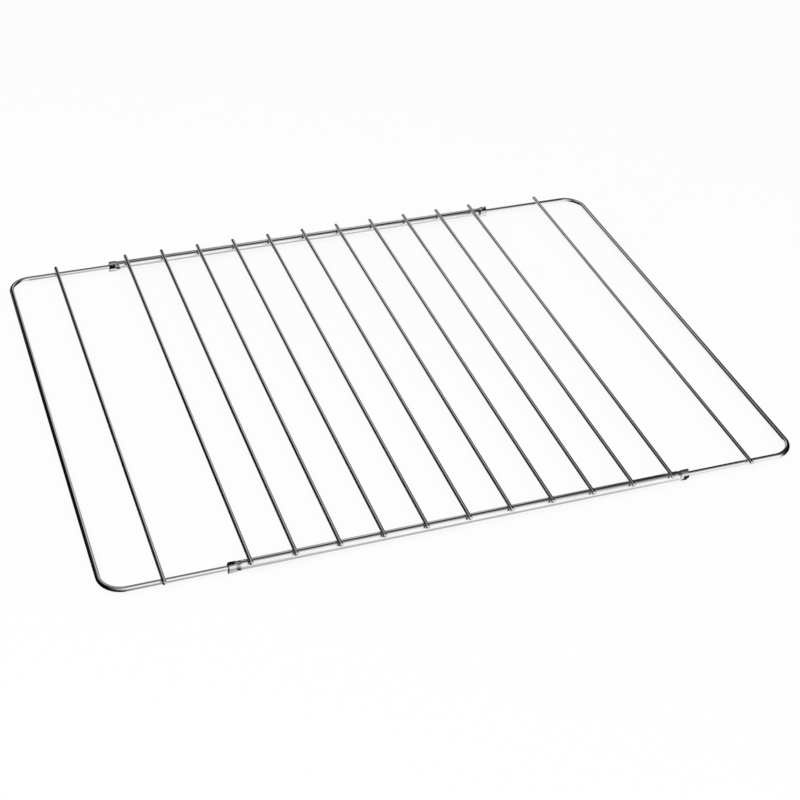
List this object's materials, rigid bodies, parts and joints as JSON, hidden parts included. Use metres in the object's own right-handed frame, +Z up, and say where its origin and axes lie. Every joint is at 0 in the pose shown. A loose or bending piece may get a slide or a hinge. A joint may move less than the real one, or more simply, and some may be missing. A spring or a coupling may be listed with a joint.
{
  "type": "extendable wire cooling rack",
  "caption": "Flat chrome wire cooling rack with parallel cross wires on two rail tubes and a U-shaped end frame that slides out of the rails at each side.",
  "frame": {"origin": "under the middle of the grid of eleven cross wires, on the surface that the rack stands on", "axes": "+X along the rails to the right-hand frame, +Y from the front rail to the back rail, +Z up"},
  "size_m": [0.4155, 0.326, 0.0091],
  "materials": {
    "rail_chrome": "chrome-plated steel tube, bright, dull and dark at the crimped ends",
    "wire_chrome": "chrome-plated steel wire, bright, with welded ends",
    "frame_chrome": "chrome-plated steel wire, bright, bent to a U"
  },
  "bodies": {
    "grid": {"rail_front": "rail_chrome", "rail_back": "rail_chrome", "cross_wire_1": "wire_chrome", "cross_wire_2": "wire_chrome", "cross_wire_3": "wire_chrome", "cross_wire_4": "wire_chrome", "cross_wire_5": "wire_chrome", "cross_wire_6": "wire_chrome", "cross_wire_7": "wire_chrome", "cross_wire_8": "wire_chrome", "cross_wire_9": "wire_chrome", "cross_wire_10": "wire_chrome", "cross_wire_11": "wire_chrome"},
    "left_frame": {"end_frame_left": "frame_chrome", "frame_cross_wire_left": "wire_chrome"},
    "right_frame": {"end_frame_right": "frame_chrome", "frame_cross_wire_right": "wire_chrome"}
  },
  "joints": [
    {"name": "left_frame_slide", "type": "slide", "parent": "grid", "child": "left_frame", "axis": [-1, 0, 0], "range_m": [-0.0335, 0.09]},
    {"name": "right_frame_slide", "type": "slide", "parent": "grid", "child": "right_frame", "axis": [1, 0, 0], "range_m": [-0.038, 0.0855]}
  ]
}
